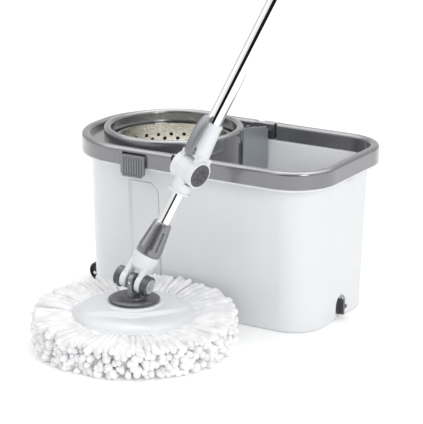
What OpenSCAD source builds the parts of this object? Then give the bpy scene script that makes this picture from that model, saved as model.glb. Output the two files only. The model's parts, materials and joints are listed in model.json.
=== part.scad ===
// Spin mop: a bucket with a perforated spin basket, and a round microfibre mop on a folding pole.
// The origin is the middle of the bucket's base. X runs along the bucket, the basket is at -X,
// the drain is at +X, and the mop stands in front of the bucket at -Y.

/* [Bucket] */
// Length over the rim
rim_l = 440; // [420:5:460]
// Width over the rim
rim_w = 256; // [252:1:266]
// Height to the top of the grey rim
rim_h = 246; // [240:1:256]
// Corner radius of the rim at the basket end
rim_r_left = 117; // [110:1:122]
// Corner radius of the rim at the drain end
rim_r_right = 67; // [55:1:80]
// Height of the grey rim band
band_h = 25; // [23:1:27]
// Thickness of the grey rim band
band_t = 14; // [13:0.5:15]
// Length of the base
base_l = 402; // [396:1:408]
// Width of the base
base_w = 200; // [194:1:204]
// Wall thickness of the bucket
wall = 2.5; // [2:0.1:3.5]

/* [Spin basket] */
// Centre of the basket along the bucket
basket_x = -85; // [-88:1:-82]
// Outer radius of the collar over the basket
collar_r = 104.5; // [102:0.5:105.5]
// Clear radius inside the collar
collar_hole = 93.5; // [91:0.5:96]
// Height to the top of the collar
collar_top = 255; // [250:1:258]
// Outer radius of the basket's rim
basket_r = 90; // [86:0.5:92]
// Height of the basket's rim above the floor
basket_top = 236; // [232:1:238]
// Depth of the basket
basket_depth = 92; // [80:1:96]

/* [Handle, latches and wheels] */
// Where the handle's pivots are along the bucket
pivot_x = 4; // [2:1:8]
// Width of a latch
latch_w = 40; // [34:1:46]
// Middle of the latches along the bucket
latch_x = -73; // [-80:1:-72]
// Radius of a wheel
wheel_r = 14.5; // [12:0.5:14.5]

/* [Mop head] */
// Centre of the mop along X
mop_x = 5; // [0:1:10]
// Centre of the mop along Y
mop_y = -249; // [-256:1:-249]
// Radius of the strand disc
strand_r = 145; // [140:1:146]
// Height of the strand disc
strand_h = 60; // [52:1:62]
// Radius of the white plate
plate_r = 88; // [84:1:92]
// Height of the plate's edge above the floor
plate_z = 47; // [45:1:49]

/* [Pole] */
// Height of the universal joint above the floor
joint_z = 95; // [94:1:100]
// Lean of the drum towards the drain end, in degrees
drum_roll = 10.5; // [5:0.5:12]
// Lean of the pole back over the bucket, in degrees
pole_tilt = 17; // [10:0.5:18]
// Sideways set of the pole in its fork, in degrees
neck_set = 10; // [6:0.5:11]
// Turn of the elbow about the pole, in degrees
elbow_turn = -12; // [-20:1:0]
// Distance from the universal joint to the elbow's pin
elbow_at = 176; // [164:1:180]
// Diameter of the lower tube
lower_d = 19; // [18:0.5:20]
// Diameter of the upper tube
upper_d = 22; // [21:0.5:23]
// Distance from the universal joint to the pole's top end, pushed in
pole_len = 950; // [900:10:1000]

/* [Hidden] */
$fn = 96;
gap = 0.3;
band_z = rim_h - band_h;
flange_t = 3;
body_top_l = rim_l - 30;
body_top_w = rim_w - 30;
pivot_z = band_z + band_h / 2;
pivot_y = rim_w / 2 - band_t / 4;
tongue_t = band_t / 2 - gap;
cover_end = -10;
cover_step = 23;
handle_start = 28;
pin_r = 3;
pin_head_r = 5;
deck_z = rim_h - 9;
deck_t = 3;
skirt_z = 172;
panel_x = 16;
draft = atan((body_top_w - base_w) / 2 / band_z);
basket_floor = basket_top - basket_depth;
hole_count = 26;
hole_rows = [17, 23.5, 46, 52.5];
hole_r = 2.8;
post_r = 17;
post_top = basket_floor - 14;
shaft_r = 4;
latch_t = 5;
latch_y = rim_w / 2 + gap;
latch_top = rim_h - 8;
latch_bottom = band_z - 15;
latch_axis_y = rim_w / 2 - 3;
latch_axis_z = latch_top - 3;
wheel_x = -199;
wheel_y = 34;
wheel_w = 15;
wheel_z = wheel_r + 0.5;
well_w = 22;
drain_z = 19;
drain_r = 9;
disc_z = 68.4;
disc_r = 36;
tube_wall = 1.2;
ring_r = 14;
leg_in = 8;
leg_out = 17;
end_out = 26;
cap_seat = 1.5;
neck_at = 43;
grip_end = 93;
barrel_r = 19.5;
knuckle = 9;
cheek_out = 20;
housing_top = 72;
upper_end = 700;
inner_d = upper_d - 2 * tube_wall - 0.4;
grip_len = 120;

// ---- shared shapes ----

// A rounded outline with its own corner radius at each end.
module outline(l, w, r_left, r_right) {
    translate([-l / 2 + r_left, -w / 2]) square([l - r_left - r_right, w]);
    translate([-l / 2, -w / 2 + r_left]) square([2 * r_left, w - 2 * r_left]);
    translate([l / 2 - 2 * r_right, -w / 2 + r_right]) square([2 * r_right, w - 2 * r_right]);
    for (s = [-1, 1]) {
        translate([-l / 2 + r_left, s * (w / 2 - r_left)]) circle(r_left);
        translate([l / 2 - r_right, s * (w / 2 - r_right)]) circle(r_right);
    }
}

module rim_outline(inset) {
    outline(rim_l - 2 * inset, rim_w - 2 * inset, rim_r_left - inset, rim_r_right - inset);
}

// A tapered solid between the base's outline and the top outline, both drawn in by inset.
module tapered_body(inset, from, to) {
    grow = to / band_z;
    slab = 0.5;
    $fn = 64;
    hull() {
        translate([0, 0, from])
            linear_extrude(slab)
                outline(base_l - 2 * inset - 8, base_w - 2 * inset - 8, 84 - inset, 46 - inset);
        translate([0, 0, from + 6])
            linear_extrude(slab)
                outline(base_l - 2 * inset, base_w - 2 * inset, 88 - inset, 50 - inset);
        translate([0, 0, to - slab])
            linear_extrude(slab)
                outline(
                    base_l + (body_top_l - base_l) * grow - 2 * inset,
                    base_w + (body_top_w - base_w) * grow - 2 * inset,
                    102 - inset,
                    54 - inset
                );
    }
}

// The section of the rim band: x across it from 0 to t, y up from 0 to h, with a rounded top.
module band_section(t, h) {
    r = min(t / 2 - 0.5, 5);
    square([t, h - r]);
    translate([r, 0]) square([t - 2 * r, h]);
    translate([r, h - r]) circle(r);
    translate([t - r, h - r]) circle(r);
}

// A straight run of band along +X, whose outer face is at y = 0 and whose body is towards +Y.
module band_run(x0, x1, t, h) {
    translate([x0, 0, 0])
        rotate([90, 0, 90])
            linear_extrude(x1 - x0)
                band_section(t, h);
}

// A quarter turn of band about a corner, with the outer face at radius r.
module band_corner(r, t, h, start) {
    rotate([0, 0, start])
        rotate_extrude(angle = 90)
            translate([r - t, 0])
                band_section(t, h);
}

// A row of upright ribs along X.
module ribs(count, pitch, w, depth, h) {
    for (i = [0:count - 1])
        translate([(i - (count - 1) / 2) * pitch - w / 2, 0, 0])
            cube([w, depth, h]);
}

// ---- bucket ----

module bucket() {
    color("white")
        difference() {
            union() {
                difference() {
                    union() {
                        tapered_body(0, 0, band_z);
                        translate([0, 0, band_z - flange_t])
                            linear_extrude(flange_t)
                                rim_outline(0.5);
                    }
                    tapered_body(wall, 4, band_z + 1);
                }
                intersection() {
                    tapered_body(0.2, 0, band_z - 1);
                    union() {
                        for (s = [-1, 1]) wheel_well_block(s);
                        translate([base_l / 2 - 13, -21, 0]) cube([30, 42, 42]);
                        for (s = [-1, 1]) side_panel_block(s);
                    }
                }
                translate([basket_x, 0, 0]) cylinder(r = post_r - 4, h = 12);
            }
            for (s = [-1, 1]) {
                translate([-260, s * wheel_y - well_w / 2, -1])
                    cube([77, well_w, 34]);
                wheel_axle_at(s);
                side_panel_cut(s);
            }
            drain_arch();
            translate([base_l / 2 - 30, 0, drain_z])
                rotate([0, 90, 0])
                    cylinder(r = drain_r, h = 60);
        }
}

module wheel_well_block(side) {
    translate([-215, side * wheel_y - well_w / 2 - wall, 0])
        cube([35, well_w + 2 * wall, 36]);
}

// The shallow upright panel pressed into each long side below a latch.
module side_panel_cut(side) {
    translate([0, side * base_w / 2, 0])
        rotate([-side * draft, 0, 0])
            translate([-90, side > 0 ? -3 : -5, 22])
                rotate([90, 0, 0])
                    mirror([0, 0, 1])
                        linear_extrude(8)
                            polygon([[0, 0], [48, 0], [48, 162], [36, 174], [0, 174]]);
}

module side_panel_block(side) {
    translate([0, side * (base_w / 2 - 5.6), 0])
        rotate([-side * draft, 0, 0])
            translate([-94, side > 0 ? -1 : -11, 4])
                cube([56, 12, 198]);
}

module drain_arch() {
    translate([base_l / 2 - 7, 0, 0]) {
        translate([0, -15, -1]) cube([30, 30, 23]);
        translate([0, 0, 22]) rotate([0, 90, 0]) cylinder(r = 15, h = 30);
    }
}

// ---- rim cover ----

module rim_cover() {
    color("darkgray")
        difference() {
            union() {
                cover_band();
                cover_deck();
                cover_collar();
                deck_slats();
            }
            for (s = [-1, 1]) {
                latch_notch(s);
                translate([pivot_x, s * (rim_w / 2 + 5), pivot_z])
                    rotate([s * 90, 0, 0])
                        cylinder(r = pin_r, h = 30);
                translate([pivot_x, s * (rim_w / 2 - band_t - 9), pivot_z])
                    rotate([-s * 90, 0, 0])
                        cylinder(r = pin_head_r + 0.3, h = 8.95);
            }
        }
}

module cover_band() {
    translate([0, 0, band_z]) {
        for (s = [0, 1])
            mirror([0, s, 0]) {
                translate([0, -rim_w / 2, 0])
                    band_run(-rim_l / 2 + rim_r_left, cover_end, band_t, band_h);
                translate([0, -rim_w / 2 + band_t / 2, 0])
                    band_run(cover_end - 1, cover_step, band_t / 2, band_h);
            }
        corner_y = rim_w / 2 - rim_r_left;
        translate([-rim_l / 2 + rim_r_left, corner_y, 0])
            band_corner(rim_r_left, band_t, band_h, 90);
        translate([-rim_l / 2 + rim_r_left, -corner_y, 0])
            band_corner(rim_r_left, band_t, band_h, 180);
        translate([-rim_l / 2 + band_t, -corner_y, 0])
            rotate([0, 0, 90])
                band_run(0, 2 * corner_y, band_t, band_h);
    }
}

module cover_deck() {
    translate([0, 0, deck_z - deck_t])
        linear_extrude(deck_t)
            difference() {
                intersection() {
                    rim_outline(band_t - 2);
                    translate([-rim_l / 2, -rim_w / 2]) square([rim_l / 2 + panel_x, rim_w]);
                }
                translate([basket_x, 0]) circle(collar_r - 1);
            }
}

// The raised collar and the splash wall that drops from it round the basket.
module cover_collar() {
    translate([basket_x, 0, 0])
        rotate_extrude()
            union() {
                translate([collar_hole, collar_top - 19])
                    band_section(collar_r - collar_hole, 19);
                translate([collar_r - 4, skirt_z])
                    square([2.6, collar_top - 19 - skirt_z + 4]);
            }
}

module deck_slats() {
    for (s = [-1, 1])
        for (i = [0:3])
            translate([-30 + i * 11, s * 107 - 6.5, deck_z - 0.5])
                cube([5, 13, 3]);
}

module latch_notch(side) {
    mirror([0, side > 0 ? 0 : 1, 0])
        translate([latch_x - latch_w / 2 - gap, latch_axis_y - 3.2, latch_axis_z - 4])
            cube([latch_w + 2 * gap, rim_w / 2 - latch_axis_y + 5, 10]);
    latch_pin_at(side);
}

// The panel beside the splash wall: high at the collar, with a round corner at the rim.
module splash_panel() {
    color("slategray")
        translate([panel_x, 30, skirt_z])
            rotate([90, 0, 90])
                linear_extrude(2.5)
                    polygon(concat(
                        [[0, 0], [74, 0]],
                        [for (a = [0:15:90]) [65 + 9 * cos(a), 64 + 9 * sin(a)]],
                        [[0, collar_top - skirt_z + 1]]
                    ));
}

module handle_pins() {
    color("dimgray")
        for (s = [-1, 1])
            translate([pivot_x, s * (rim_w / 2 - band_t - 1.5), pivot_z])
                rotate([-s * 90, 0, 0]) {
                    cylinder(r = pin_r - 0.05, h = band_t + 2);
                    translate([0, 0, -1]) cylinder(r = pin_head_r, h = 2.4);
                }
}

// ---- carry handle ----

module carry_handle() {
    color("darkgray")
        difference() {
            translate([0, 0, band_z + gap]) handle_band(band_h - gap);
            for (s = [-1, 1])
                translate([pivot_x, s * (rim_w / 2 + 5), pivot_z])
                    rotate([s * 90, 0, 0])
                        cylinder(r = pin_r, h = 30);
        }
}

module handle_band(h) {
    corner_y = rim_w / 2 - rim_r_right;
    corner_x = rim_l / 2 - rim_r_right;
    for (s = [0, 1])
        mirror([0, s, 0]) {
            translate([0, -rim_w / 2, 0]) {
                band_run(handle_start, corner_x, band_t, h);
                intersection() {
                    band_run(pivot_x - 14, handle_start + 3, tongue_t, h);
                    handle_tongue_limit(h);
                }
            }
            translate([corner_x, -corner_y, 0])
                band_corner(rim_r_right, band_t, h, -90);
        }
    translate([rim_l / 2, -corner_y, 0])
        rotate([0, 0, 90])
            band_run(0, 2 * corner_y, band_t, h);
}

// The tongue beside each pivot ends in a round about the pin.
module handle_tongue_limit(h) {
    r = band_h / 2 - gap;
    translate([0, -1, 0]) {
        translate([pivot_x, 0, pivot_z - band_z - gap])
            rotate([-90, 0, 0])
                cylinder(r = r, h = tongue_t + 2);
        translate([pivot_x, 0, -1])
            cube([40, tongue_t + 2, h + 2]);
    }
}

// ---- latches ----

module latch() {
    difference() {
        union() {
            translate([-latch_w / 2, -latch_t, latch_bottom])
                cube([latch_w, latch_t - 1.2, latch_top - latch_bottom]);
            translate([0, -latch_t - 1.2, latch_bottom + 3])
                ribs(8, 4.3, 2, 2, latch_top - latch_bottom - 6);
            translate([-latch_w / 2 + 1, -latch_t - 1.6, latch_bottom])
                cube([latch_w - 2, 2, 2.4]);
            translate([-latch_w / 2, -1.4, latch_axis_z - 1.6])
                cube([latch_w, rim_w / 2 + gap - latch_axis_y + 1.4, 3.2]);
            translate([-latch_w / 2, latch_y - latch_axis_y, latch_axis_z])
                rotate([0, 90, 0])
                    cylinder(r = 2.6, h = latch_w);
        }
        translate([-latch_w, latch_y - latch_axis_y, latch_axis_z])
            rotate([0, 90, 0])
                cylinder(r = 1.3, h = 2 * latch_w);
        for (s = [-1, 1])
            translate([s * latch_w / 2, 0, latch_bottom])
                rotate([0, 45, 0])
                    cube([7, 30, 7], center = true);
    }
}

module latch_front() {
    color("gray")
        translate([latch_x, -latch_y, 0])
            latch();
}

module latch_back() {
    color("gray")
        translate([latch_x, latch_y, 0])
            mirror([0, 1, 0])
                latch();
}

module latch_pin_at(side) {
    translate([latch_x - latch_w / 2 - 4, side * latch_axis_y, latch_axis_z])
        rotate([0, 90, 0])
            cylinder(r = 1.2, h = latch_w + 8);
}

module latch_pins() {
    color("silver") for (s = [-1, 1]) latch_pin_at(s);
}

// ---- wheels ----

module wheel() {
    rotate([90, 0, 0])
        translate([0, 0, -wheel_w / 2])
            difference() {
                rotate_extrude()
                    polygon([
                        [0, 0], [wheel_r - 2, 0], [wheel_r, 2], [wheel_r, wheel_w - 2],
                        [wheel_r - 2, wheel_w], [0, wheel_w]
                    ]);
                translate([0, 0, -1]) cylinder(r = 2.6, h = wheel_w + 2);
                for (z = [-0.01, wheel_w - 2.49])
                    translate([0, 0, z])
                        difference() {
                            cylinder(r = wheel_r - 3.5, h = 2.5);
                            translate([0, 0, -1]) cylinder(r = 5, h = 5);
                        }
            }
}

module wheel_front() {
    color("dimgray") translate([wheel_x, -wheel_y, wheel_z]) wheel();
}

module wheel_back() {
    color("dimgray") translate([wheel_x, wheel_y, wheel_z]) wheel();
}

module wheel_axles() {
    color("silver")
        for (s = [-1, 1]) wheel_axle_at(s);
}

module wheel_axle_at(side) {
    translate([wheel_x, side * wheel_y - 13.4, wheel_z])
        rotate([-90, 0, 0])
            cylinder(r = 2.5, h = 26.8);
}

// ---- drain ----

module drain_plug() {
    color("dimgray")
        translate([base_l / 2 - 7, 0, drain_z]) {
            rotate([0, 90, 0])
                difference() {
                    union() {
                        translate([0, 0, -12]) cylinder(r = drain_r - 0.4, h = 14);
                        translate([0, 0, 2.2]) cylinder(r = 12, h = 4);
                    }
                    translate([0, 0, -13]) cylinder(r = drain_r - 3, h = 10);
                }
            translate([6, -2, -11]) cube([7, 4, 22]);
            translate([4, -2, -3]) cube([9, 12, 4]);
        }
}

module drain_seal() {
    color("black")
        translate([base_l / 2 - 7, 0, drain_z])
            rotate([0, 90, 0])
                difference() {
                    translate([0, 0, 0.3]) cylinder(r = 11.4, h = 1.9);
                    translate([0, 0, -1]) cylinder(r = drain_r - 0.4, h = 5);
                }
}

// ---- spin basket ----

module basket_post() {
    color("white")
        translate([basket_x, 0, 0])
            difference() {
                union() {
                    translate([0, 0, 12]) cylinder(r1 = post_r + 6, r2 = post_r, h = post_top - 12);
                    translate([0, 0, 4]) cylinder(r = post_r + 6, h = 8.01);
                }
                translate([0, 0, -1]) cylinder(r = post_r - 4, h = 13);
                translate([0, 0, post_top - 40]) cylinder(r = 9, h = 60);
            }
}

module post_bearing() {
    color("tan")
        translate([basket_x, 0, 0])
            difference() {
                translate([0, 0, post_top - 40]) cylinder(r = 9, h = 40);
                translate([0, 0, post_top - 36]) cylinder(r = shaft_r + 0.06, h = 60);
            }
}

module basket_shaft() {
    color("silver")
        translate([basket_x, 0, 0]) {
            translate([0, 0, post_top - 35]) cylinder(r = shaft_r, h = 35 + 26);
            translate([0, 0, post_top + 1]) cylinder(r = 7, h = 3);
        }
}

module basket_hub() {
    color("whitesmoke")
        translate([basket_x, 0, 0])
            difference() {
                union() {
                    translate([0, 0, basket_floor - 9]) cylinder(r = 26, h = 9);
                    translate([0, 0, basket_floor + 1.2]) cylinder(r1 = 26, r2 = 18, h = 12);
                    translate([0, 0, basket_floor - 1]) cylinder(r = 20, h = 3);
                }
                translate([0, 0, post_top + 4]) cylinder(r = shaft_r, h = 22);
            }
}

module spin_basket() {
    side_r = basket_r - 6;
    floor_z = basket_floor;
    color("silver")
        translate([basket_x, 0, 0])
            difference() {
                union() {
                    translate([0, 0, floor_z + 14]) cylinder(r = side_r, h = basket_depth - 18);
                    translate([0, 0, floor_z]) cylinder(r1 = side_r - 14, r2 = side_r, h = 14);
                    translate([0, 0, basket_top - 4]) cylinder(r = basket_r, h = 4);
                }
                translate([0, 0, floor_z + 14]) cylinder(r = side_r - 1.2, h = basket_depth);
                translate([0, 0, floor_z + 1.2]) cylinder(r1 = side_r - 15, r2 = side_r - 1.2, h = 12.81);
                translate([0, 0, floor_z - 1]) cylinder(r = 20, h = 4);
                for (row = [0:3])
                    for (i = [0:hole_count - 1])
                        rotate([0, 0, (i + row / 2) * 360 / hole_count])
                            translate([side_r - 5, 0, basket_top - hole_rows[row]])
                                rotate([0, 90, 0])
                                    cylinder(r = hole_r, h = 10);
            }
}

// ---- mop head ----

module at_mop(z = 0) {
    translate([mop_x, mop_y, z]) children();
}

module swivel_base() {
    color("dimgray")
        at_mop()
            rotate_extrude()
                polygon([
                    [0, 44], [8, 44], [8, disc_z], [disc_r, disc_z], [disc_r, disc_z + 1.4],
                    [disc_r - 4, disc_z + 3.6], [20, disc_z + 4.2], [19, disc_z + 6], [0, disc_z + 6]
                ]);
}

module hub_washer() {
    color("silver")
        at_mop() {
            translate([0, 0, 41.6]) cylinder(r = 11, h = 2.4);
            translate([0, 0, 39]) cylinder(r = 4.5, h = 2.6, $fn = 6);
        }
}

module centre_bracket() {
    color("gray")
        at_mop()
            difference() {
                union() {
                    translate([-3.5, 0, joint_z])
                        rotate([0, 90, 0])
                            cylinder(r = 11.5, h = 7);
                    translate([-3.5, -11.5, disc_z + 6]) cube([7, 23, joint_z - disc_z - 6]);
                }
                translate([-10, 0, joint_z]) rotate([0, 90, 0]) cylinder(r = 6, h = 20);
                translate([0, -20, joint_z]) rotate([-90, 0, 0]) cylinder(r = 2, h = 40);
            }
}

module roll_pin() {
    color("silver")
        at_mop()
            translate([0, -12.5, joint_z])
                rotate([-90, 0, 0])
                    cylinder(r = 1.95, h = 25);
}

module head_bearing() {
    color("tan")
        at_mop()
            difference() {
                translate([0, 0, 48]) cylinder(r = 12, h = 18);
                translate([0, 0, 40]) cylinder(r = 8.05, h = 40);
            }
}

module mop_plate() {
    color("white")
        at_mop()
            rotate_extrude()
                polygon(concat(
                    [[12, 46], [16, 34], [30, 31], [plate_r - 4, 31], [plate_r, 34], [plate_r, plate_z - 1]],
                    [for (a = [0:15:90]) [
                        52 + (plate_r - 2 - 52) * cos(a),
                        plate_z + 11 * sin(a)
                    ]],
                    [for (a = [0:15:90]) [44 + 6 * cos(a), plate_z + 10 + 6 * sin(a)]],
                    [[40, plate_z + 16.4], [38.5, 66], [12, 66]]
                ));
}

module mop_ring() {
    color("gainsboro")
        at_mop()
            difference() {
                translate([0, 0, 26]) cylinder(r = plate_r - 6, h = 4.8);
                translate([0, 0, 20]) cylinder(r = 50, h = 20);
            }
}

module microfibre_strands() {
    inner = plate_r + 1;
    color("snow")
        at_mop()
            rotate_extrude()
                polygon(concat(
                    [[0, 0], [strand_r - 9, 0]],
                    [for (a = [-60:15:60]) [
                        strand_r - 9 + 9 * cos(a),
                        strand_h / 2 + (strand_h / 2 - 4) * sin(a) / sin(60) * 0.8
                    ]],
                    [[strand_r - 14, strand_h], [inner + 12, strand_h - 4], [inner, plate_z - 2]],
                    [[inner, 30.4], [plate_r - 4, 25.6], [0, 25.6]]
                ));
}

// ---- universal joint ----

// The drum's own frame: X is its axle.
module at_drum() {
    at_mop(joint_z) rotate([0, drum_roll, 0]) children();
}

module drum_ring(r, x0, x1) {
    translate([x0, 0, 0]) rotate([0, 90, 0]) cylinder(r = r, h = x1 - x0);
}

module cross_axle() {
    color("silver")
        at_drum()
            difference() {
                drum_ring(4, -end_out + cap_seat, end_out - cap_seat);
                translate([0, -10, 0]) rotate([-90, 0, 0]) cylinder(r = 2, h = 20);
            }
}

module end_ring() {
    difference() {
        union() {
            drum_ring(ring_r, leg_out + 0.3, end_out);
            translate([leg_out + 1, -4, -15]) cube([6, 8, 8]);
        }
        drum_ring(4, 0, 40);
        drum_ring(ring_r - 3.5, end_out - cap_seat, end_out + 1);
    }
}

module end_ring_right() {
    color("dimgray") at_drum() end_ring();
}

module end_ring_left() {
    color("dimgray") at_drum() mirror([1, 0, 0]) end_ring();
}

module end_cap_at() {
    difference() {
        union() {
            drum_ring(ring_r - 3.7, end_out - cap_seat + 0.02, end_out + 2);
            drum_ring(5, end_out + 1.9, end_out + 3.4);
        }
        translate([end_out + 2.4, -0.6, -4]) cube([3, 1.2, 8]);
        translate([end_out + 2.4, -4, -0.6]) cube([3, 8, 1.2]);
    }
}

module end_cap_right() {
    color("lightgray") at_drum() end_cap_at();
}

module end_cap_left() {
    color("lightgray") at_drum() mirror([1, 0, 0]) end_cap_at();
}

// ---- lower pole ----

// The pole's own frame: Z runs up the pole from the universal joint.
module at_pole(along = 0) {
    at_drum()
        rotate([-pole_tilt, 0, 0])
            rotate([0, neck_set, 0])
                translate([0, 0, along])
                    children();
}

module fork_leg(side) {
    mirror([side > 0 ? 0 : 1, 0, 0]) {
        drum_ring(ring_r - 0.5, leg_in, leg_out);
        translate([leg_in, -9, 0]) cube([leg_out - leg_in, 18, 24]);
    }
}

module fork_connector() {
    color("white")
        difference() {
            union() {
                at_drum() rotate([-pole_tilt, 0, 0]) for (s = [-1, 1]) fork_leg(s);
                at_pole(17)
                    rotate_extrude()
                        polygon([
                            [0, 0], [9, 0], [15.5, 6], [18, 16], [18.6, neck_at - 18],
                            [18, neck_at - 17], [0, neck_at - 17]
                        ]);
            }
            at_pole(27) cylinder(r = lower_d / 2, h = 60);
            at_drum() drum_ring(4.06, -40, 40);
        }
}

module grip_sleeve() {
    color("darkgray")
        at_pole(neck_at)
            difference() {
                rotate_extrude()
                    polygon([
                        [lower_d / 2, 0.3], [17.4, 0.3], [18.2, 2], [18, 10], [13.6, grip_end - neck_at - 5],
                        [12.6, grip_end - neck_at - 1], [11.6, grip_end - neck_at],
                        [lower_d / 2, grip_end - neck_at]
                    ]);
                for (i = [0:7])
                    rotate([0, 0, i * 45 + 10])
                        translate([18.4, 0, 9])
                            rotate([0, -7.6, 0])
                                cylinder(r = 1.8, h = 30);
            }
}

module tube(d, from, to, bore) {
    at_pole(from)
        difference() {
            cylinder(d = d, h = to - from);
            translate([0, 0, -1]) cylinder(d = bore, h = to - from + 2);
        }
}

module lower_tube() {
    color("silver") tube(lower_d, 27, elbow_at - 21, lower_d - 2 * tube_wall);
}

// The elbow's own frame: X is its pin.
module at_elbow() {
    at_pole(elbow_at) rotate([0, 0, elbow_turn]) children();
}

module elbow_lower_housing() {
    color("white")
        at_elbow()
            difference() {
                union() {
                    drum_ring(barrel_r, -knuckle, knuckle);
                    translate([0, 0, -35]) cylinder(r = 14.6, h = 14.6);
                    translate([0, 0, -36]) cylinder(r1 = 15.4, r2 = 16.6, h = 3.4);
                    intersection() {
                        translate([0, 0, -30]) cylinder(r = 14.6, h = 30);
                        translate([-knuckle, -20, -30]) cube([2 * knuckle, 40, 30]);
                    }
                }
                translate([0, 0, -40]) cylinder(d = lower_d, h = 19);
                drum_ring(4.06, -30, 30);
            }
}

module elbow_pin() {
    color("silver") at_elbow() drum_ring(4, -cheek_out + 1.6, cheek_out - 1.6);
}

// ---- upper pole ----

module elbow_upper_housing() {
    inner = knuckle + gap;
    color("white")
        at_elbow()
            difference() {
                union() {
                    for (s = [0, 1])
                        mirror([s, 0, 0]) {
                            drum_ring(barrel_r, inner, cheek_out);
                            translate([inner, -14, 0]) cube([7.4, 28, 24]);
                        }
                    translate([0, 0, barrel_r + 0.8])
                        cylinder(r1 = 17.4, r2 = 14, h = housing_top - barrel_r - 4.8);
                    translate([0, 0, housing_top - 6]) cylinder(r = 14.6, h = 6);
                }
                translate([0, 0, 27]) cylinder(d = upper_d, h = 60);
                drum_ring(4, -30, 30);
                for (s = [0, 1])
                    mirror([s, 0, 0]) drum_ring(barrel_r - 3, cheek_out - 1.5, cheek_out + 3);
                lever_seat();
            }
}

// The slot in the front of the upper housing that the lever's foot turns in.
module lever_seat() {
    translate([-6.5, -30, 20]) cube([13, 17.5, 13]);
    translate([-12, -16.6, 26.5]) rotate([0, 90, 0]) cylinder(r = 1.5, h = 24);
}

module elbow_cap_at() {
    difference() {
        drum_ring(barrel_r - 3.2, cheek_out - 1.5 + 0.02, cheek_out + 1.4);
        for (a = [0:45:315])
            rotate([a, 0, 0])
                translate([cheek_out + 0.6, 4, -0.7])
                    cube([3, 8, 1.4]);
    }
}

module elbow_cap_right() {
    color("dimgray") at_elbow() elbow_cap_at();
}

module elbow_cap_left() {
    color("dimgray") at_elbow() mirror([1, 0, 0]) elbow_cap_at();
}

module lock_lever() {
    color("gray")
        at_elbow()
            difference() {
                union() {
                    translate([-6.2, -16.6, 26.5]) rotate([0, 90, 0]) cylinder(r = 3.4, h = 12.4);
                    translate([-6.2, -22, 26.5]) cube([12.4, 5.4, 5.5]);
                    translate([-6.5, 0, 0])
                        rotate([90, 0, 90])
                            linear_extrude(13)
                                polygon([
                                    [-24.5, 22], [-19.4, 24], [-19.4, 34], [-18.4, 58],
                                    [-16.4, 78], [-19.5, 80], [-24.2, 60], [-25.4, 34]
                                ]);
                }
                translate([-12, -16.6, 26.5]) rotate([0, 90, 0]) cylinder(r = 1.5, h = 24);
            }
}

module lever_pin() {
    color("silver")
        at_elbow()
            translate([-9.6, -16.6, 26.5])
                rotate([0, 90, 0])
                    cylinder(r = 1.45, h = 19.2);
}

module upper_tube() {
    color("silver") tube(upper_d, elbow_at + 27, upper_end, upper_d - 2 * tube_wall);
}

module twist_collar() {
    color("dimgray")
        at_pole(upper_end - 28)
            difference() {
                union() {
                    cylinder(r1 = 14, r2 = 16, h = 12);
                    translate([0, 0, 12]) cylinder(r = 16, h = 22);
                    translate([0, 0, 34]) cylinder(r1 = 16, r2 = 13, h = 8);
                }
                translate([0, 0, -1]) cylinder(d = upper_d + 0.1, h = 29.4);
                translate([0, 0, 27]) cylinder(d = inner_d + 0.2, h = 20);
                for (i = [0:11])
                    rotate([0, 0, i * 30])
                        translate([16.2, 0, 14])
                            cylinder(r = 1.5, h = 18);
            }
}

module inner_tube() {
    color("silver") tube(inner_d, 420, pole_len - 30, inner_d - 2 * tube_wall);
}

module inner_plug() {
    color("dimgray")
        at_pole(400)
            difference() {
                union() {
                    cylinder(d = upper_d - 2 * tube_wall - 0.1, h = 19.9);
                    cylinder(d = inner_d - 2 * tube_wall, h = 45);
                }
                translate([0, 0, -1]) cylinder(r = 3, h = 60);
            }
}

module hand_grip() {
    color("dimgray")
        at_pole(pole_len - 30 - grip_len)
            rotate_extrude()
                polygon(concat(
                    [[inner_d / 2, 0], [13, 0], [15, 3]],
                    [for (i = [0:9]) each [[15, 8 + i * 10], [13.8, 11 + i * 10], [15, 14 + i * 10]]],
                    [[15, grip_len - 2], [13.5, grip_len], [inner_d / 2, grip_len]]
                ));
}

module end_cap() {
    color("dimgray")
        at_pole(pole_len - 30)
            difference() {
                union() {
                    cylinder(d = inner_d - 2 * tube_wall, h = 2);
                    translate([0, 0, -18]) cylinder(d = inner_d - 2 * tube_wall, h = 19);
                    cylinder(r = 13, h = 8);
                    hull() {
                        translate([-4, 0, 12.1]) rotate([0, 90, 0]) cylinder(r = 12, h = 8, $fn = 32);
                        translate([-4, 0, 20]) rotate([0, 90, 0]) cylinder(r = 10, h = 8, $fn = 32);
                    }
                }
                translate([-10, 0, 19]) rotate([0, 90, 0]) cylinder(r = 5.5, h = 20);
            }
}

// ---- the assembly ----

bucket();
rim_cover();
splash_panel();
handle_pins();
carry_handle();
latch_front();
latch_back();
latch_pins();
wheel_front();
wheel_back();
wheel_axles();
drain_plug();
drain_seal();
basket_post();
post_bearing();
basket_shaft();
basket_hub();
spin_basket();
swivel_base();
hub_washer();
centre_bracket();
roll_pin();
head_bearing();
mop_plate();
mop_ring();
microfibre_strands();
cross_axle();
end_ring_left();
end_ring_right();
end_cap_left();
end_cap_right();
fork_connector();
grip_sleeve();
lower_tube();
elbow_lower_housing();
elbow_pin();
elbow_upper_housing();
elbow_cap_left();
elbow_cap_right();
lock_lever();
lever_pin();
upper_tube();
twist_collar();
inner_tube();
inner_plug();
hand_grip();
end_cap();
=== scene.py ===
import json
import math
import random

import bpy
from mathutils import Matrix, Vector


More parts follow.
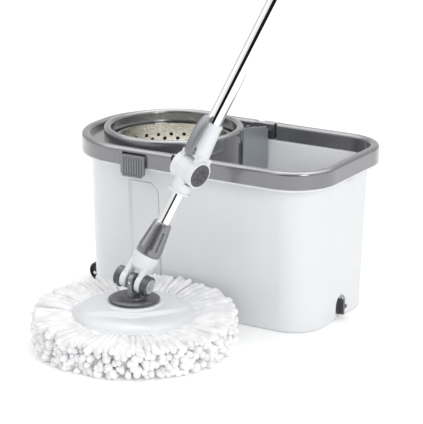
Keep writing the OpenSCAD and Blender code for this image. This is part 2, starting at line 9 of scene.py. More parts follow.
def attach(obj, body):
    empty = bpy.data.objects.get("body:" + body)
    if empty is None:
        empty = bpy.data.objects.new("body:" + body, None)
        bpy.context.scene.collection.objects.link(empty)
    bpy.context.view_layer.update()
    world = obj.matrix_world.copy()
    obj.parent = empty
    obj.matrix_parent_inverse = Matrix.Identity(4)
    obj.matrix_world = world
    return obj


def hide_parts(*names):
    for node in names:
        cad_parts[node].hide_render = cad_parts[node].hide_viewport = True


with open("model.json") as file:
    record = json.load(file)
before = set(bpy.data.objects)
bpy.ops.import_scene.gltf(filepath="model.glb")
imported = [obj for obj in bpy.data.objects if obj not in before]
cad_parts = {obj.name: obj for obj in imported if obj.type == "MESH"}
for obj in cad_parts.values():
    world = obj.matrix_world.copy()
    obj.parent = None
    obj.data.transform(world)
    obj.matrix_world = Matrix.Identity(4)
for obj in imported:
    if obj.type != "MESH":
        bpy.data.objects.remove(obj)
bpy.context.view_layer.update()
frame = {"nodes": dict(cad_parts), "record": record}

NODES = frame["nodes"]
scene = bpy.context.scene

# ---- sizes that repeat the CAD's, in metres ----

RIM_L, RIM_W = 0.440, 0.256               # the bucket's flange
RIM_LEFT_R, RIM_RIGHT_R = 0.117, 0.067    # its corners, at the basket and at the drain
BAND_Z = 0.221                            # the top of the bucket's lip
FOOT_L, FOOT_W = 0.402, 0.200             # the bucket's wall on the floor
TOP_L, TOP_W = 0.410, 0.226               # the same wall at BAND_Z
FOOT_LEFT_R, LEFT_R_GAIN = 0.088, 0.014   # the wall's corners on the floor, and what they
FOOT_RIGHT_R, RIGHT_R_GAIN = 0.050, 0.004  # gain on the way up to BAND_Z
WALL = 0.0025                             # how thick the bucket's wall is
WHEEL_Y = 0.034                           # the rollers' places, either side of the middle
MOP = Vector((0.005, -0.249, 0.0))        # the middle of the mop head, on the floor
STRAND_R, STRAND_H = 0.145, 0.060         # the disc of strands
PLATE_R = 0.088                           # the white plate
JOINT_Z = 0.095                           # the height of the universal joint's axle
ELBOW_AT = 0.176                          # from that axle to the elbow, along the pole
PILE_TILT = 0.009                         # how much higher the pile lies at the back
PILE_TURN = math.radians(-31)             # turns that slope to the mop's own front and back


# ---- small helpers ----

def add_object(name, mesh, body, material, smooth=True):
    """Links a mesh as a piece that rides on a body."""
    obj = bpy.data.objects.new(name, mesh)
    scene.collection.objects.link(obj)
    mesh.materials.append(material)
    for face in mesh.polygons:
        face.use_smooth = smooth
    if body:
        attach(obj, body)
    return obj


def mesh_from(name, verts, faces):
    mesh = bpy.data.meshes.new(name)
    mesh.from_pydata([tuple(v) for v in verts], [], faces)
    mesh.validate()
    return mesh


def finish_normals(obj, angle):
    """Smooth shading that keeps edges sharper than the angle, in degrees, crisp."""
    for face in obj.data.polygons:
        face.use_smooth = True
    obj.data.set_sharp_from_angle(angle=math.radians(angle))


# ---- materials ----

def new_material(name):
    mat = bpy.data.materials.new(name)
    mat.use_nodes = True
    nodes, links = mat.node_tree.nodes, mat.node_tree.links
    return mat, nodes, links, nodes["Principled BSDF"]


def add_noise(nodes, links, scale, detail=4.0, stretch=(1, 1, 1)):
    """A noise texture in object space, in cycles a metre."""
    place = nodes.new("ShaderNodeTexCoord")
    mapping = nodes.new("ShaderNodeMapping")
    mapping.inputs["Scale"].default_value = stretch
    noise = nodes.new("ShaderNodeTexNoise")
    noise.inputs["Scale"].default_value = scale
    noise.inputs["Detail"].default_value = detail
    links.new(place.outputs["Object"], mapping.inputs["Vector"])
    links.new(mapping.outputs["Vector"], noise.inputs["Vector"])
    return noise


def add_ramp(nodes, links, source, low, high, start=0.35, end=0.65):
    ramp = nodes.new("ShaderNodeValToRGB")
    ramp.color_ramp.elements[0].position = start
    ramp.color_ramp.elements[1].position = end
    ramp.color_ramp.elements[0].color = low
    ramp.color_ramp.elements[1].color = high
    links.new(source, ramp.inputs["Fac"])
    return ramp


def add_bump(nodes, links, shader, source, strength, distance):
    bump = nodes.new("ShaderNodeBump")
    bump.inputs["Strength"].default_value = strength
    bump.inputs["Distance"].default_value = distance
    links.new(source, bump.inputs["Height"])
    links.new(bump.outputs["Normal"], shader.inputs["Normal"])


def grey(value, tint=(1.0, 1.0, 1.0)):
    return (value * tint[0], value * tint[1], value * tint[2], 1.0)


def plastic(
    name, colour, roughness, spread=0.04, metallic=0.0, coat=0.0, bump=0.06, specular=0.5
):
    """Moulded plastic: a faint mottle in colour and gloss, and a fine moulded grain."""
    mat, nodes, links, shader = new_material(name)
    shader.inputs["Metallic"].default_value = metallic
    shader.inputs["Coat Weight"].default_value = coat
    shader.inputs["Coat Roughness"].default_value = 0.08
    shader.inputs["IOR"].default_value = 1.5
    shader.inputs["Specular IOR Level"].default_value = specular
    mottle = add_noise(nodes, links, 14, 3)
    low = tuple(c * (1 - spread) for c in colour) + (1.0,)
    high = tuple(min(1.0, c * (1 + spread)) for c in colour) + (1.0,)
    tint = add_ramp(nodes, links, mottle.outputs["Fac"], low, high)
    links.new(tint.outputs["Color"], shader.inputs["Base Color"])
    gloss = add_noise(nodes, links, 60, 4)
    rough = add_ramp(
        nodes, links, gloss.outputs["Fac"], grey(roughness * 0.94), grey(roughness * 1.06)
    )
    links.new(rough.outputs["Color"], shader.inputs["Roughness"])
    grain = add_noise(nodes, links, 900, 2)
    add_bump(nodes, links, shader, grain.outputs["Fac"], bump, 0.0004)
    return mat


def metal(name, colour, roughness, stretch, bump=0.05, scale=400, anisotropic=0.0):
    """Metal with drawn or brushed marks along one way."""
    mat, nodes, links, shader = new_material(name)
    shader.inputs["Metallic"].default_value = 1.0
    shader.inputs["Anisotropic"].default_value = anisotropic
    shader.inputs["Base Color"].default_value = colour
    marks = add_noise(nodes, links, scale, 3, stretch)
    rough = add_ramp(
        nodes, links, marks.outputs["Fac"], grey(roughness * 0.85), grey(roughness * 1.2)
    )
    links.new(rough.outputs["Color"], shader.inputs["Roughness"])
    add_bump(nodes, links, shader, marks.outputs["Fac"], bump, 0.0002)
    return mat


def rubber(name, colour, roughness):
    """Rubber or foam: mottled, with a fine pitted surface."""
    mat, nodes, links, shader = new_material(name)
    mottle = add_noise(nodes, links, 90, 5)
    low = tuple(c * 0.8 for c in colour) + (1.0,)
    high = tuple(c * 1.25 for c in colour) + (1.0,)
    tint = add_ramp(nodes, links, mottle.outputs["Fac"], low, high)
    links.new(tint.outputs["Color"], shader.inputs["Base Color"])
    shader.inputs["Roughness"].default_value = roughness
    pits = add_noise(nodes, links, 1500, 2)
    add_bump(nodes, links, shader, pits.outputs["Fac"], 0.25, 0.0004)
    return mat


def microfibre(name):
    """Looped microfibre pile: near white, soft sheen, with a fine tufted surface."""
    mat, nodes, links, shader = new_material(name)
    shader.inputs["Roughness"].default_value = 0.9
    shader.inputs["Sheen Weight"].default_value = 0.35
    shader.inputs["Sheen Roughness"].default_value = 0.5
    shader.inputs["Subsurface Weight"].default_value = 0.12
    shader.inputs["Subsurface Radius"].default_value = (0.004, 0.004, 0.004)
    tone = add_noise(nodes, links, 55, 4)
    low, high = grey(0.74, (1, 1, 1.015)), grey(0.92, (1, 1, 1.01))
    tint = add_ramp(nodes, links, tone.outputs["Fac"], low, high, 0.3, 0.65)
    links.new(tint.outputs["Color"], shader.inputs["Base Color"])
    tufts = add_noise(nodes, links, 620, 5)
    add_bump(nodes, links, shader, tufts.outputs["Fac"], 0.6, 0.0016)
    return mat


MATERIALS = {
    "white_plastic": plastic(
        "white_plastic", (0.68, 0.695, 0.71), 0.20, 0.012, coat=0.15, bump=0.02, specular=0.3
    ),
    # A paler copy of the white plastic for the bucket's inner wall. It is painted light: it
    # brightens the inside where shade falls.
    "white_inside_painted_light": plastic(
        "white_inside_painted_light", (0.86, 0.865, 0.885), 0.3, 0.012, bump=0.02, specular=0.3
    ),
    "silver_plastic": plastic(
        "silver_plastic", (0.205, 0.205, 0.215), 0.21, 0.03, metallic=0.65, coat=0.9, bump=0.004
    ),
    "panel_plastic": plastic(
        "panel_plastic", (0.30, 0.33, 0.36), 0.32, 0.05, metallic=0.35, coat=0.2
    ),
    "latch_plastic": plastic(
        "latch_plastic", (0.22, 0.225, 0.235), 0.36, 0.05, metallic=0.45, coat=0.2
    ),
    "dark_plastic": plastic("dark_plastic", (0.055, 0.055, 0.062), 0.34, 0.1, coat=0.2),
    "light_plastic": plastic(
        "light_plastic", (0.42, 0.43, 0.45), 0.3, 0.04, metallic=0.3, coat=0.3
    ),
    "chrome_tube": metal("chrome_tube", (0.92, 0.92, 0.93, 1), 0.045, (1, 1, 0.08), 0.01),
    "basket_steel": metal(
        "basket_steel", (0.74, 0.73, 0.69, 1), 0.24, (0.08, 0.08, 1), 0.006, 700, 0.3
    ),
    "pin_steel": metal("pin_steel", (0.6, 0.6, 0.61, 1), 0.22, (1, 1, 1)),
    "bush_plastic": plastic("bush_plastic", (0.62, 0.57, 0.45), 0.5, 0.06),
    "rubber": rubber("rubber", (0.028, 0.028, 0.031), 0.6),
    "grip_foam": rubber("grip_foam", (0.07, 0.07, 0.075), 0.75),
    "microfibre": microfibre("microfibre"),
}


def paint_cad_nodes():
    """Every CAD node takes the material of its slot in the record."""
    for part in frame["record"]["subparts"]:
        obj = NODES[part["node"]]
        mat = MATERIALS[part["material_slot"]]
        if not obj.material_slots:
            obj.data.materials.append(mat)
        for slot in obj.material_slots:
            slot.material = mat


# ---- mesh helpers ----

def turned_faces(steps, n, flip):
    """The faces between copies of a closed section of n points, turned full circle."""
    faces = []
    for k in range(steps):
        for j in range(n):
            a, b = k * n + j, k * n + (j + 1) % n
            c, d = ((k + 1) % steps) * n + (j + 1) % n, ((k + 1) % steps) * n + j
            faces.append((a, d, c, b) if flip else (a, b, c, d))
    return faces


def lathe(name, section, centre, body, material, steps=96):
    """Turns a closed section of (radius, height) pairs about a vertical axis."""
    verts = []
    for k in range(steps):
        a = 2 * math.pi * k / steps
        for r, z in section:
            verts.append(centre + Vector((r * math.cos(a), r * math.sin(a), z)))
    faces = turned_faces(steps, len(section), flip=True)
    obj = add_object(name, mesh_from(name, verts, faces), body, material)
    finish_normals(obj, 35)
    return obj


def loft(name, rings):
    """A closed solid through rings of equal count, capped at both ends."""
    verts = [p for ring in rings for p in ring]
    n = len(rings[0])
    faces = []
    for j in range(len(rings) - 1):
        for k in range(n):
            a, b = j * n + k, j * n + (k + 1) % n
            faces.append((a, b, b + n, a + n))
    faces.append(tuple(reversed(range(n))))
    faces.append(tuple((len(rings) - 1) * n + k for k in range(n)))
    return mesh_from(name, verts, faces)


def box_mesh(name, low, high):
    verts = [
        (x, y, z)
        for z in (low[2], high[2]) for y in (low[1], high[1]) for x in (low[0], high[0])
    ]
    faces = [(0, 2, 3, 1), (4, 5, 7, 6), (0, 1, 5, 4), (2, 6, 7, 3), (0, 4, 6, 2), (1, 3, 7, 5)]
    return mesh_from(name, verts, faces)


def apply_modifiers(obj):
    """Turns the object's modifiers into plain mesh."""
    bpy.context.view_layer.update()
    evaluated = obj.evaluated_get(bpy.context.evaluated_depsgraph_get())
    result = bpy.data.meshes.new_from_object(evaluated)
    obj.modifiers.clear()
    obj.data = result


def cut(target, mesh, operation):
    """Applies one exact boolean to the target's mesh."""
    tool = bpy.data.objects.new("tool", mesh)
    scene.collection.objects.link(tool)
    step = target.modifiers.new("cut", "BOOLEAN")
    step.operation = operation
    step.solver = "EXACT"
    step.object = tool
    old = target.data
    apply_modifiers(target)
    bpy.data.meshes.remove(old)
    bpy.data.objects.remove(tool)


def rounded_loop(points, radius, steps=5):
    """2-D corners of a convex loop, each rounded with an arc."""
    loop = []
    n = len(points)
    for i in range(n):
        p, before, after = Vector(points[i]), Vector(points[i - 1]), Vector(points[(i + 1) % n])
        a, b = (before - p).normalized(), (after - p).normalized()
        half = math.acos(max(-1, min(1, a.dot(b)))) / 2
        reach = radius / math.tan(half)
        centre = p + (a + b).normalized() * (radius / math.sin(half))
        start, stop = p + a * reach - centre, p + b * reach - centre
        for k in range(steps + 1):
            loop.append(centre + start.slerp(stop, k / steps).normalized() * radius)
    return loop


def superellipse(t, power_x, power_y):
    """Cosine and sine of t, squared off by the powers, each from -1 to 1."""
    c, q = math.cos(t), math.sin(t)
    return math.copysign(abs(c) ** power_x, c), math.copysign(abs(q) ** power_y, q)


# ---- mop head ----

def strand_mesh(verts, faces, points, radii, sides=7):
    """Adds a round strand along the points, capped at both ends."""
    first = len(verts)
    rings = len(points)
    for i, (p, r) in enumerate(zip(points, radii)):
        ahead = points[min(i + 1, rings - 1)] - points[max(i - 1, 0)]
        ahead.normalize()
        side = ahead.cross(Vector((0, 0, 1)))
        side.normalize()
        up = side.cross(ahead)
        for k in range(sides):
            a = 2 * math.pi * k / sides
            verts.append(p + side * (r * math.cos(a)) + up * (r * math.sin(a)))
    for i in range(rings - 1):
        for k in range(sides):
            a, b = first + i * sides + k, first + i * sides + (k + 1) % sides
            faces.append((a, b, b + sides, a + sides))
    faces.append(tuple(first + k for k in reversed(range(sides))))
    faces.append(tuple(first + (rings - 1) * sides + k for k in range(sides)))


def strand_layer(
    verts, faces, rng, z_in, z_out, inner, outer, count, radius, turn, swell_up=0.0
):
    """One ring of radial strands, from radius inner out to round tips near radius outer."""
    body_steps, tip_steps, tip_reach = 10, 3, 0.97
    for i in range(count):
        angle = 2 * math.pi * (i + turn + rng.uniform(-0.3, 0.3)) / count
        reach = outer + rng.uniform(-0.007, 0.0015)
        thick = radius * rng.uniform(0.84, 1.16)
        lift = rng.uniform(-0.0025, 0.0025)
        sway = rng.uniform(-0.06, 0.06)
        points, radii = [], []
        for k in range(body_steps + tip_steps + 1):
            if k <= body_steps:
                share = k / body_steps
                along = inner + (reach - thick - inner) * share
                wave = 1 + 0.09 * math.sin(k * 2.3 + i * 1.7)
                swell = thick * (0.70 + 0.30 * share) * wave
            else:
                share = 1.0
                end = (k - body_steps) / tip_steps * math.pi / 2 * tip_reach
                along = reach - thick + thick * math.sin(end)
                swell = thick * math.cos(end)
            heading = angle + sway * share * share * 0.5
            rise = swell_up * math.sin(math.pi * share ** 0.8)
            back = math.sin(heading + PILE_TURN) * PILE_TILT * share * z_out / STRAND_H
            height = z_in + (z_out - z_in) * share + rise + back + lift * share
            height = max(height, swell + 0.0004)
            out = Vector((math.cos(heading), math.sin(heading), 0))
            points.append(MOP + out * along + Vector((0, 0, height)))
            radii.append(swell)
        strand_mesh(verts, faces, points, radii)


def build_strands():
    """The mop's strands: rings whose tips make the disc's side, then two over its top."""
    rng = random.Random(7)
    verts, faces = [], []
    side_layers, lowest, stack = 6, 0.0052, 0.0385
    for n in range(side_layers):
        share = n / (side_layers - 1)
        z = lowest + share * stack
        outer = STRAND_R - 0.002 + 0.004 * math.sin(math.pi * (0.15 + 0.85 * share))
        inner = 0.03 if n == 0 else 0.100
        strand_layer(verts, faces, rng, z, z, inner, outer, 86, 0.0054, 0.5 * (n % 2))
    strand_layer(verts, faces, rng, 0.0385, 0.0455, 0.074, 0.1455, 84, 0.0050, 0.25, 0.003)
    strand_layer(verts, faces, rng, 0.0390, 0.0490, 0.076, 0.1445, 80, 0.0048, 0.0, 0.004)
    mesh = mesh_from("microfibre_pile", verts, faces)
    pile = add_object("microfibre_pile", mesh, "head", MATERIALS["microfibre"])
    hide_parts("microfibre_strands")

    section = [
        (0.022, 0.004), (0.128, 0.004), (0.132, 0.010), (0.132, 0.040), (0.12, 0.045),
        (0.089, 0.037), (0.089, 0.031), (0.084, 0.0256), (0.022, 0.0256),
    ]
    core = lathe("strand_core", section, MOP, "head", MATERIALS["microfibre"])


def smooth_step(t):
    t = max(0.0, min(1.0, t))
    return t * t * (3 - 2 * t)


def plate_height(r, angle):
    """The plate's top: a dome with a raised hub, which runs further out in two lobes."""
    dome = 0.047 + 0.011 * math.sqrt(max(0.0, 1 - (max(r, 0.052) - 0.052) ** 2 / 0.034 ** 2))
    lobe = 0.0
    for direction, width in ((math.radians(62), 0.62), (math.radians(205), 0.5)):
        turn = math.atan2(math.sin(angle - direction), math.cos(angle - direction))
        if abs(turn) < math.pi * width:
            lobe += 0.5 + 0.5 * math.cos(turn / width)
    foot = 0.0505 + 0.030 * smooth_step(lobe)
    raised = 1 - smooth_step((r - foot + 0.006) / 0.0065)
    return dome + 0.0052 * raised * (1 - 0.75 * smooth_step((r - 0.044) / 0.040))


def build_plate():
    """The white domed plate."""
    steps, turns = 34, 180
    top_start, top_end, edge_round = 0.0425, 0.0872, 0.0006
    hub = [(0.012, 0.066), (0.0385, 0.066), (0.0395, 0.0645), (0.041, 0.0634)]
    under = [
        (PLATE_R, 0.046), (PLATE_R, 0.034), (0.084, 0.031), (0.030, 0.031), (0.016, 0.034),
        (0.012, 0.046),
    ]
    verts = []
    for k in range(turns):
        angle = 2 * math.pi * k / turns
        section = list(hub)
        for j in range(steps + 1):
            r = top_start + (top_end - top_start) * j / steps
            drop = edge_round if j == steps else 0
            section.append((r, plate_height(min(r, 0.0860), angle) - drop))
        section += under
        out = Vector((math.cos(angle), math.sin(angle), 0))
        verts += [MOP + out * r + Vector((0, 0, z)) for r, z in section]
    faces = turned_faces(turns, len(verts) // turns, flip=False)
    mesh = mesh_from("plate_shell", verts, faces)
    plate = add_object("plate_shell", mesh, "head", MATERIALS["white_plastic"])
    finish_normals(plate, 40)
    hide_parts("mop_plate")


# ---- bucket ----

def outline_ring(length, width, r_left, r_right, z, corner_steps=20, side_steps=8):
    """A ring of points round the bucket: right corners r_right, left corners r_left."""
    corners = [
        (length / 2 - r_right, width / 2 - r_right, r_right),
        (-length / 2 + r_left, width / 2 - r_left, r_left),
        (-length / 2 + r_left, -width / 2 + r_left, r_left),
        (length / 2 - r_right, -width / 2 + r_right, r_right),
    ]
    ring = []
    for quarter, (x, y, r) in enumerate(corners):
        for k in range(corner_steps + 1):
            a = (quarter + k / corner_steps) * math.pi / 2
            ring.append(Vector((x + r * math.cos(a), y + r * math.sin(a), z)))
    points = []
    count = corner_steps + 1
    for c in range(4):
        points += ring[c * count:(c + 1) * count]
        start, stop = ring[(c + 1) * count - 1], ring[((c + 1) * count) % len(ring)]
        points += [start.lerp(stop, k / side_steps) for k in range(1, side_steps)]
    return points


def wall_ring(inset, z):
    """The bucket's tapered wall at a height, drawn in by inset."""
    t = z / BAND_Z
    length, width = FOOT_L + (TOP_L - FOOT_L) * t, FOOT_W + (TOP_W - FOOT_W) * t
    left, right = FOOT_LEFT_R + LEFT_R_GAIN * t, FOOT_RIGHT_R + RIGHT_R_GAIN * t
    return outline_ring(length - 2 * inset, width - 2 * inset, left - inset, right - inset, z)


def flange_ring(inset, z):
    return outline_ring(
        RIM_L - 2 * inset, RIM_W - 2 * inset, RIM_LEFT_R - inset, RIM_RIGHT_R - inset, z
    )


def at_height(ring, z):
    return [Vector((p.x, p.y, z)) for p in ring]


def on_side(points, depth, side):
    """Places panel points (x, up the wall) on a long side, at a depth into the wall."""
    lean = math.atan((TOP_W - FOOT_W) / 2 / BAND_Z)
    up = Vector((0, side * math.sin(lean), math.cos(lean)))
    out = Vector((0, side * math.cos(lean), -math.sin(lean)))
    base = Vector((0, side * FOOT_W / 2, 0))
    placed = [base + Vector((x, 0, 0)) + up * h - out * depth for x, h in points]
    return placed if side < 0 else list(reversed(placed))


def recess_side(shell, side):
    """The shallow upright recess under a latch, and the panel that a groove parts from it.

    The recess has a wide bevel on its basket side. Depths are from the wall's outer face.
    """
    backing = [(-0.099, 0.014), (-0.037, 0.014), (-0.037, 0.204), (-0.099, 0.204)]
    bottom = [
        (-0.090, 0.022), (-0.042, 0.022), (-0.042, 0.184), (-0.054, 0.196), (-0.090, 0.196)
    ]
    mouth = [
        (-0.0945, 0.0205), (-0.0418, 0.0205), (-0.0418, 0.1841), (-0.0539, 0.1962),
        (-0.0945, 0.1962),
    ]
    panel = [
        (-0.096, 0.018), (-0.0446, 0.018), (-0.0446, 0.1828), (-0.0552, 0.1934),
        (-0.096, 0.1934),
    ]
    recess_depth, groove_depth, backing_depth = 0.0028, 0.0044, 0.0056
    low, high = rounded_loop(bottom, 0.002), rounded_loop(mouth, 0.003)
    past = [a + (b - a) * 1.15 for a, b in zip(low, high)]
    panel = rounded_loop(panel, 0.002)

    def between(name, inner, inner_depth, outer, outer_depth):
        ends = [on_side(inner, inner_depth, side), on_side(outer, outer_depth, side)]
        return loft(name, ends)

    cut(shell, between("backing", backing, backing_depth, backing, 0.0008), "UNION")
    cut(shell, between("recess", low, recess_depth, past, -0.00042), "DIFFERENCE")
    cut(shell, between("groove", low, groove_depth, low, 0.0020), "DIFFERENCE")
    cut(shell, between("panel", panel, 0.0052, panel, 0.0027), "UNION")


def finger_scoop(shell):
    """The shallow hollow under the flange at the drain end, for a fingertip grip."""
    centre, wide, deep, tall = Vector((0.2068, 0.014, 0.2176)), 0.025, 0.0062, 0.011
    block = box_mesh("scoop_block", (0.1955, -0.018, 0.200), (0.2040, 0.046, 0.2190))
    cut(shell, block, "UNION")
    rings = []
    for j in range(1, 9):
        a = j / 8 * math.pi / 2
        drop, reach = tall * math.cos(a), math.sin(a)
        rings.append([
            centre + Vector((deep * reach * math.cos(t), wide * reach * math.sin(t), -drop))
            for t in (2 * math.pi * k / 40 for k in range(40))
        ])
    cut(shell, loft("scoop", rings), "DIFFERENCE")


def shell_rings():
    """The bucket's rings, up the outside, over the lip, and down the inside."""
    foot, floor_top = 0.006, 0.010
    fillet_z, fillet = 0.2125, 0.005
    inner_top = 0.2204
    lip = (
        (0.0012, 0.2176), (0.0006, 0.2180), (0.0005, 0.2186),
        (0.0005, 0.2203), (0.0008, 0.2208), (0.0014, 0.2210),
    )
    rings = []
    for k in range(7):
        a = k / 6 * math.pi / 2
        ring = wall_ring(foot * (1 - math.sin(a)), foot)
        rings.append(at_height(ring, foot * (1 - math.cos(a))))
    for k in range(1, 12):
        rings.append(wall_ring(0, foot + k / 12 * 0.206))
    for k in range(6):
        a = k / 5 * math.pi / 2
        ring = wall_ring(-fillet * (1 - math.cos(a)) * 0.9, fillet_z)
        rings.append(at_height(ring, fillet_z + fillet * math.sin(a)))
    rings += [flange_ring(inset, z) for inset, z in lip]
    rings += [wall_ring(0.0020, BAND_Z), wall_ring(0.0026, inner_top)]
    for k in range(1, 12):
        rings.append(wall_ring(WALL, inner_top - k / 12 * 0.209))
    for k in range(7):
        a = k / 6 * math.pi / 2
        ring = wall_ring(WALL + foot * (1 - math.cos(a)), floor_top)
        rings.append(at_height(ring, floor_top - foot * math.sin(a)))
    return rings


def drain_arch(shell):
    """The arched hollow round the drain plug, in a thicker patch of wall."""
    radius, centre_z, steps = 0.0150, 0.022, 16
    block = box_mesh("drain_block", (0.188, -0.021, 0.003), (0.1995, 0.021, 0.042))
    cut(shell, block, "UNION")
    arch = [(radius, -0.001)]
    for k in range(steps + 1):
        a = k / steps * math.pi
        arch.append((radius * math.cos(a), centre_z + radius * math.sin(a)))
    arch.append((-radius, -0.001))
    near = [Vector((0.1945, y, z)) for y, z in arch]
    far = [Vector((0.23, y * 1.03, z)) for y, z in arch]
    cut(shell, loft("arch", [near, far]), "DIFFERENCE")


def wheel_wells(shell):
    for y in (-WHEEL_Y, WHEEL_Y):
        block = box_mesh(
            "well_block", (-0.1915, y - 0.0135, 0.003), (-0.180, y + 0.0135, 0.0355)
        )
        cut(shell, block, "UNION")
        well = box_mesh("well", (-0.26, y - 0.011, -0.001), (-0.183, y + 0.011, 0.033))
        cut(shell, well, "DIFFERENCE")


def build_bucket():
    """The white shell: foot, drafted wall, flange, thin lip, and its moulded recesses."""
    mesh = loft("bucket_shell", shell_rings())
    shell = add_object("bucket_shell", mesh, "bucket", MATERIALS["white_plastic"])
    for side in (-1, 1):
        recess_side(shell, side)
    finger_scoop(shell)
    drain_arch(shell)
    wheel_wells(shell)
    shell.data.materials.clear()
    shell.data.materials.append(MATERIALS["white_plastic"])
    shell.data.materials.append(MATERIALS["white_inside_painted_light"])
    # The inward faces of the wall take the paler copy, which is painted light on the bucket's
    # inside.
    for face in shell.data.polygons:
        inward = face.normal.x * face.center.x + face.normal.y * face.center.y < 0
        face.material_index = 1 if inward and 0.006 < face.center.z < 0.216 else 0
    finish_normals(shell, 28)
    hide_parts("bucket")


# ---- pole details ----

def pole_frames():
    """Where the fork, the pole and the elbow stand at rest, as the CAD sets them."""
    roll, tilt, neck, turn = (math.radians(v) for v in (10.5, 17, 10, -12))
    drum = Matrix.Translation(MOP + Vector((0, 0, JOINT_Z))) @ Matrix.Rotation(roll, 4, "Y")
    fork = drum @ Matrix.Rotation(-tilt, 4, "X")
    pole = fork @ Matrix.Rotation(neck, 4, "Y")
    elbow = pole @ Matrix.Translation((0, 0, ELBOW_AT)) @ Matrix.Rotation(turn, 4, "Z")
    return fork, pole, elbow


def build_lever():
    """The lock lever: a broad crowned paddle that hugs the housing, with a round foot."""
    elbow = pole_frames()[2]
    sides = 24
    stations = (      # up the pole, half width, inner face, outer face
        (0.0200, 0.0046, -0.0192, -0.0212), (0.0215, 0.0060, -0.0190, -0.0236),
        (0.0260, 0.0070, -0.0188, -0.0258), (0.0330, 0.0074, -0.0190, -0.0268),
        (0.0440, 0.0077, -0.0186, -0.0272), (0.0560, 0.0078, -0.0180, -0.0266),
        (0.0670, 0.0075, -0.0174, -0.0248), (0.0750, 0.0066, -0.0168, -0.0222),
        (0.0795, 0.0048, -0.0166, -0.0196), (0.0808, 0.0026, -0.0168, -0.0182),
    )
    rings = []
    for z, half, inner, outer in stations:
        ring = []
        for k in range(sides):
            c, q = superellipse(2 * math.pi * k / sides, 0.62, 0.8)
            share = 0.5 + 0.5 * q
            ring.append(elbow @ Vector((half * c, outer + (inner - outer) * share, z)))
        rings.append(ring)
    mesh = loft("lever_paddle", rings)
    lever = add_object("lever_paddle", mesh, "lever", MATERIALS["latch_plastic"])
    foot_r, foot_half = 0.0034, 0.0062
    foot = []
    for k in range(sides):
        t = -2 * math.pi * k / sides
        y, z = -0.0166 + foot_r * math.cos(t), 0.0265 + foot_r * math.sin(t)
        foot.append(elbow @ Vector((-foot_half, y, z)))
    across = (elbow.to_3x3() @ Vector((1, 0, 0))) * (2 * foot_half)
    cut(lever, loft("foot", [foot, [p + across for p in foot]]), "UNION")
    finish_normals(lever, 40)
    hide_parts("lock_lever")


def build_fork():
    """The white fork: two round leg ends that sweep up into the neck."""
    fork, pole, _ = pole_frames()
    mesh = NODES["fork_connector"].data.copy()
    obj = add_object("fork_body", mesh, "lower_pole", MATERIALS["white_plastic"])
    shoulder = (      # (x, z) of the corner that the left leg would leave outside the neck
        (-0.0172, 0.008), (-0.0150, 0.017), (-0.0128, 0.0250), (-0.0128, 0.0262),
        (-0.030, 0.0262), (-0.030, 0.008),
    )
    ends = [[fork @ Vector((x, y, z)) for x, z in shoulder] for y in (0.013, -0.013)]
    cut(obj, loft("shoulder", ends), "DIFFERENCE")
    steps, sides = 8, 24
    for side in (-1, 1):
        rings = []
        for j in range(steps + 1):
            t = j / steps
            along = 0.002 + 0.030 * t
            near, far = 0.0083 - 0.006 * t * t, 0.0168 - 0.0008 * t
            half = 0.0128 + (0.0135 - 0.0128) * t
            waist = 1 - 0.18 * math.sin(math.pi * t)
            ring = []
            for k in range(sides):
                c, q = superellipse(2 * math.pi * k / sides, 0.5, 0.8)
                x = (near + far) / 2 + (far - near) / 2 * c
                y = half * q * waist
                base = fork @ Vector((side * x, y, along))
                top = pole @ Vector((side * x, y, along))
                ring.append(base.lerp(top, t))
            rings.append(ring if side > 0 else list(reversed(ring)))
        cut(obj, loft("sweep", rings), "UNION")
    remesh = obj.modifiers.new("remesh", "REMESH")
    remesh.mode = "VOXEL"
    remesh.voxel_size = 0.0007
    smooth = obj.modifiers.new("smooth", "SMOOTH")
    smooth.factor = 0.5
    smooth.iterations = 6
    apply_modifiers(obj)
    obj.data.materials.clear()
    obj.data.materials.append(MATERIALS["white_plastic"])
    finish_normals(obj, 60)
    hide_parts("fork_connector")


# ---- camera, light and floor ----

def build_camera():
    azimuth, elevation, roll = math.radians(30.836), math.radians(16.491), math.radians(0.275)
    distance = 2.6
    target = Vector((0.165, -0.3074, 0.2343))
    back = Vector((
        math.sin(azimuth) * math.cos(elevation),
        -math.cos(azimuth) * math.cos(elevation),
        math.sin(elevation),
    ))
    right = Vector((math.cos(azimuth), math.sin(azimuth), 0))
    up = back.cross(right)
    turned_right = right * math.cos(roll) + up * math.sin(roll)
    turned_up = up * math.cos(roll) - right * math.sin(roll)
    axes = Matrix((turned_right, turned_up, back)).transposed()
    camera = bpy.data.objects.new("camera", bpy.data.cameras.new("camera"))
    scene.collection.objects.link(camera)
    camera.matrix_world = Matrix.Translation(target + back * distance) @ axes.to_4x4()
    camera.data.sensor_width = 36
    camera.data.lens = 168.5
    camera.data.clip_end = 20
    scene.camera = camera


def area_light(name, place, size, power, aim):
    light = bpy.data.lights.new(name, "AREA")
    light.shape = "RECTANGLE"
    light.size, light.size_y = size
    light.energy = power
    obj = bpy.data.objects.new(name, light)
    scene.collection.objects.link(obj)
    obj.location = place
    obj.rotation_euler = (Vector(aim) - Vector(place)).to_track_quat("-Z", "Y").to_euler()


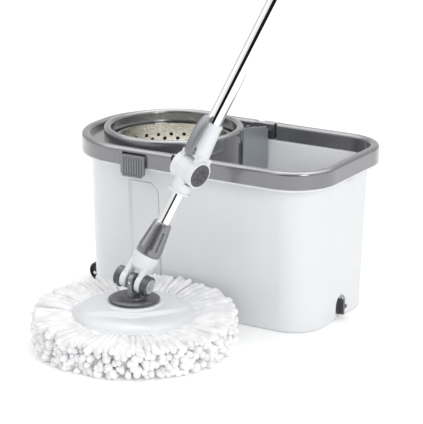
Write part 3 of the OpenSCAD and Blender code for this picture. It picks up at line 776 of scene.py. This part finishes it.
def build_stage():
    """A pale floor that glows a little, and three soft lights."""
    size = 4.0
    corners = [(-size, -size, 0), (size, -size, 0), (size, size, 0), (-size, size, 0)]
    floor_mat, nodes, links, shader = new_material("floor")
    tone = add_noise(nodes, links, 2, 2)
    tint = add_ramp(nodes, links, tone.outputs["Fac"], grey(0.93), grey(0.95))
    links.new(tint.outputs["Color"], shader.inputs["Base Color"])
    shader.inputs["Roughness"].default_value = 0.75
    shader.inputs["Emission Color"].default_value = grey(1.0)
    shader.inputs["Emission Strength"].default_value = 0.14
    mesh = mesh_from("floor", corners, [(0, 1, 2, 3)])
    floor = add_object("floor", mesh, None, floor_mat, smooth=False)

    area_light("key", (2.3, -1.5, 1.5), (0.9, 1.3), 27, (0.05, 0, 0.12))
    area_light("fill", (-1.8, -1.4, 1.5), (1.2, 1.2), 5, (0, 0, 0.15))
    area_light("top", (0.0, 0.5, 2.2), (1.6, 0.7), 10, (0, 0, 0.2))


def build_world():
    """White for light. Reflections see a dark band on the camera's side, and a bright sky."""
    world = bpy.data.worlds.new("studio")
    scene.world = world
    world.use_nodes = True
    nodes, links = world.node_tree.nodes, world.node_tree.links
    background = nodes["Background"]
    background.inputs["Strength"].default_value = 0.82

    place = nodes.new("ShaderNodeTexCoord")
    level = nodes.new("ShaderNodeVectorMath")
    level.operation = "MULTIPLY"
    level.inputs[1].default_value = (1, 1, 0)
    links.new(place.outputs["Generated"], level.inputs[0])
    compass = nodes.new("ShaderNodeVectorMath")
    compass.operation = "NORMALIZE"
    links.new(level.outputs[0], compass.inputs[0])
    along = nodes.new("ShaderNodeVectorMath")
    along.operation = "DOT_PRODUCT"
    azimuth = math.radians(34)
    along.inputs[1].default_value = (math.sin(azimuth), -math.cos(azimuth), 0)
    links.new(compass.outputs[0], along.inputs[0])
    spread = nodes.new("ShaderNodeMapRange")
    spread.inputs["From Min"].default_value = -1
    links.new(along.outputs["Value"], spread.inputs["Value"])
    bands = nodes.new("ShaderNodeValToRGB")
    stops = ((0.0, 0.85), (0.4, 0.95), (0.7, 1.1), (0.875, 1.0), (0.895, 0.02), (1.0, 0.01))
    while len(bands.color_ramp.elements) < len(stops):
        bands.color_ramp.elements.new(0.5)
    for element, (position, value) in zip(bands.color_ramp.elements, stops):
        element.position = position
        element.color = grey(value)
    links.new(spread.outputs["Result"], bands.inputs["Fac"])

    height = nodes.new("ShaderNodeSeparateXYZ")
    links.new(place.outputs["Generated"], height.inputs[0])
    overhead = nodes.new("ShaderNodeMapRange")
    overhead.inputs["From Min"].default_value = 0.5
    overhead.inputs["From Max"].default_value = 0.8
    overhead.inputs["To Max"].default_value = 2.6
    links.new(height.outputs["Z"], overhead.inputs["Value"])
    seen = nodes.new("ShaderNodeVectorMath")
    seen.operation = "ADD"
    links.new(bands.outputs["Color"], seen.inputs[0])
    links.new(overhead.outputs["Result"], seen.inputs[1])

    rays = nodes.new("ShaderNodeLightPath")
    choice = nodes.new("ShaderNodeMix")
    choice.data_type = "RGBA"
    factor, colour_a, colour_b, colour_out = 0, 6, 7, 2      # the colour sockets of a Mix node
    choice.inputs[colour_a].default_value = (1, 1, 1, 1)
    links.new(rays.outputs["Is Glossy Ray"], choice.inputs[factor])
    links.new(seen.outputs[0], choice.inputs[colour_b])
    links.new(choice.outputs[colour_out], background.inputs["Color"])


scene.view_settings.view_transform = "Standard"
paint_cad_nodes()
build_strands()
build_plate()
build_bucket()
build_lever()
build_fork()
build_stage()
build_world()
build_camera()
